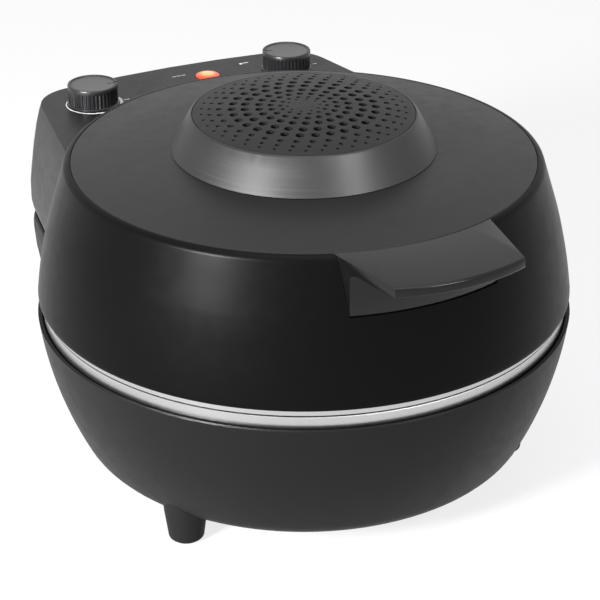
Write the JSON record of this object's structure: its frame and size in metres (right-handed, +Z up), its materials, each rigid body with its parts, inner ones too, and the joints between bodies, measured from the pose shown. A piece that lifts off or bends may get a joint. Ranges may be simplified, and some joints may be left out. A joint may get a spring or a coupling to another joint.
{
  "type": "electric pizza maker",
  "caption": "Round countertop pizza maker: domed hinged lid with a vented top, dials and lamp on a rear housing, front grip, baking stone between two heaters, on short feet.",
  "frame": {"origin": "on the table, under the middle of the whole object's bounding box; the round body's axis stands 12.75 mm in front of it, at -Y", "axes": "-Y points to the front, where the handle is; +Y to the rear, where the hinge and the control housing are; +X to the right seen from the front; +Z up"},
  "size_m": [0.3829, 0.4676, 0.2715],
  "materials": {
    "shell_black": "fine satin, dark",
    "top_black": "fine satin, dark grey",
    "cover_black": "coarse matt",
    "band_steel": "brushed round",
    "liner_steel": "spun, dull",
    "vent_metal": "dark satin metallic",
    "grille_black": "satin",
    "handle_gloss": "gloss",
    "knob_black": "satin",
    "stone": "unglazed, matt",
    "heater_tube": "heat-darkened",
    "zinc_steel": "bright zinc",
    "fan_plastic": "moulded",
    "fitting_cream": "moulded",
    "motor_steel": "lacquered",
    "rubber_black": "matt",
    "lens_orange": "clear-tinted gloss",
    "lamp_glass": "frosted"
  },
  "bodies": {
    "base": {"base_shell": "shell_black", "bottom_cover": "cover_black", "bottom_cover_screws": "zinc_steel", "base_trim_ring": "band_steel", "base_liner": "liner_steel", "base_rim_screws": "zinc_steel", "pizza_stone": "stone", "lower_heater": "heater_tube", "lower_heater_clips": "zinc_steel", "terminal_block": "fitting_cream", "rear_bracket": "shell_black", "cord_gland": "rubber_black", "hinge_pin_left": "zinc_steel", "hinge_pin_right": "zinc_steel", "foot_left": "cover_black", "foot_right": "cover_black", "foot_rear": "cover_black", "foot_pads": "rubber_black", "foot_screws": "zinc_steel"},
    "lid": {"lid_shell": "shell_black", "top_cover": "top_black", "top_cover_screws": "zinc_steel", "vent_housing": "vent_metal", "vent_grille": "grille_black", "lid_trim_ring": "band_steel", "lid_liner": "liner_steel", "lid_rim_screws": "zinc_steel", "upper_heater": "heater_tube", "upper_heater_clips": "zinc_steel", "fan_guard": "liner_steel", "fan_motor": "motor_steel", "motor_bracket": "zinc_steel", "motor_screws": "zinc_steel", "thermal_cutout": "fitting_cream", "handle": "handle_gloss", "handle_screws": "zinc_steel", "control_housing": "top_black", "hinge_plate": "cover_black", "housing_screws": "zinc_steel", "thermostat_body": "fitting_cream", "timer_body": "fitting_cream", "indicator_lens": "lens_orange", "indicator_lamp": "lamp_glass"},
    "fan_rotor": {"motor_shaft": "zinc_steel", "hot_air_fan": "liner_steel", "cooling_fan": "fan_plastic", "fan_nut": "zinc_steel"},
    "thermostat_dial": {"thermostat_knob": "knob_black", "thermostat_spindle": "zinc_steel"},
    "timer_dial": {"timer_knob": "knob_black", "timer_spindle": "zinc_steel"}
  },
  "joints": [
    {"name": "lid_hinge", "type": "hinge", "parent": "base", "child": "lid", "pos_m": [0, 0.22125, 0.132], "axis": [-1, 0, 0], "range_deg": [0, 85]},
    {"name": "fan_spin", "type": "hinge", "parent": "lid", "child": "fan_rotor", "pos_m": [0, -0.01275, 0.235], "axis": [0, 0, 1], "continuous": true},
    {"name": "thermostat_turn", "type": "hinge", "parent": "lid", "child": "thermostat_dial", "pos_m": [-0.0824, 0.17965, 0.22], "axis": [0, 0, -1], "range_deg": [0, 270]},
    {"name": "timer_turn", "type": "hinge", "parent": "lid", "child": "timer_dial", "pos_m": [0.0824, 0.17965, 0.22], "axis": [0, 0, -1], "range_deg": [0, 300]}
  ]
}
